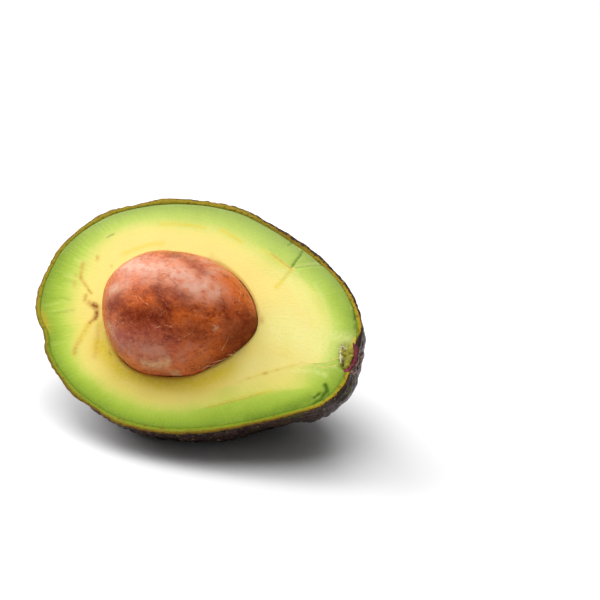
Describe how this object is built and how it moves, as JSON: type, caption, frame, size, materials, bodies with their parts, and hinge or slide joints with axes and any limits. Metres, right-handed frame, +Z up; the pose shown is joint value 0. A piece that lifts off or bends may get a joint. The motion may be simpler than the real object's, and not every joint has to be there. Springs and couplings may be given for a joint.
{
  "type": "avocado half",
  "caption": "Half an avocado cut lengthwise, its seed still in the flesh, lying tilted on its pebbled dark skin with the cut face up and forward.",
  "frame": {"origin": "on the surface that the half lies on, under the middle of its bounding box", "axes": "+Z up; +X along the half's length, towards the stem end; the cut face looks towards -Y and up, 47 degrees above level"},
  "size_m": [0.1014, 0.0628, 0.0581],
  "materials": {
    "skin": "pebbled peel with a satin shine, purple-brown to black with green flecks",
    "flesh": "moist buttery cut flesh, green under the peel and pale yellow at the seed",
    "seed": "smooth red-brown seed coat, mottled, with a soft shine",
    "stem_button": "dry corky stem scar with a pale fibrous plug"
  },
  "bodies": {
    "root": {"skin": "skin", "flesh": "flesh", "seed": "seed", "stem_button": "stem_button"}
  },
  "joints": []
}
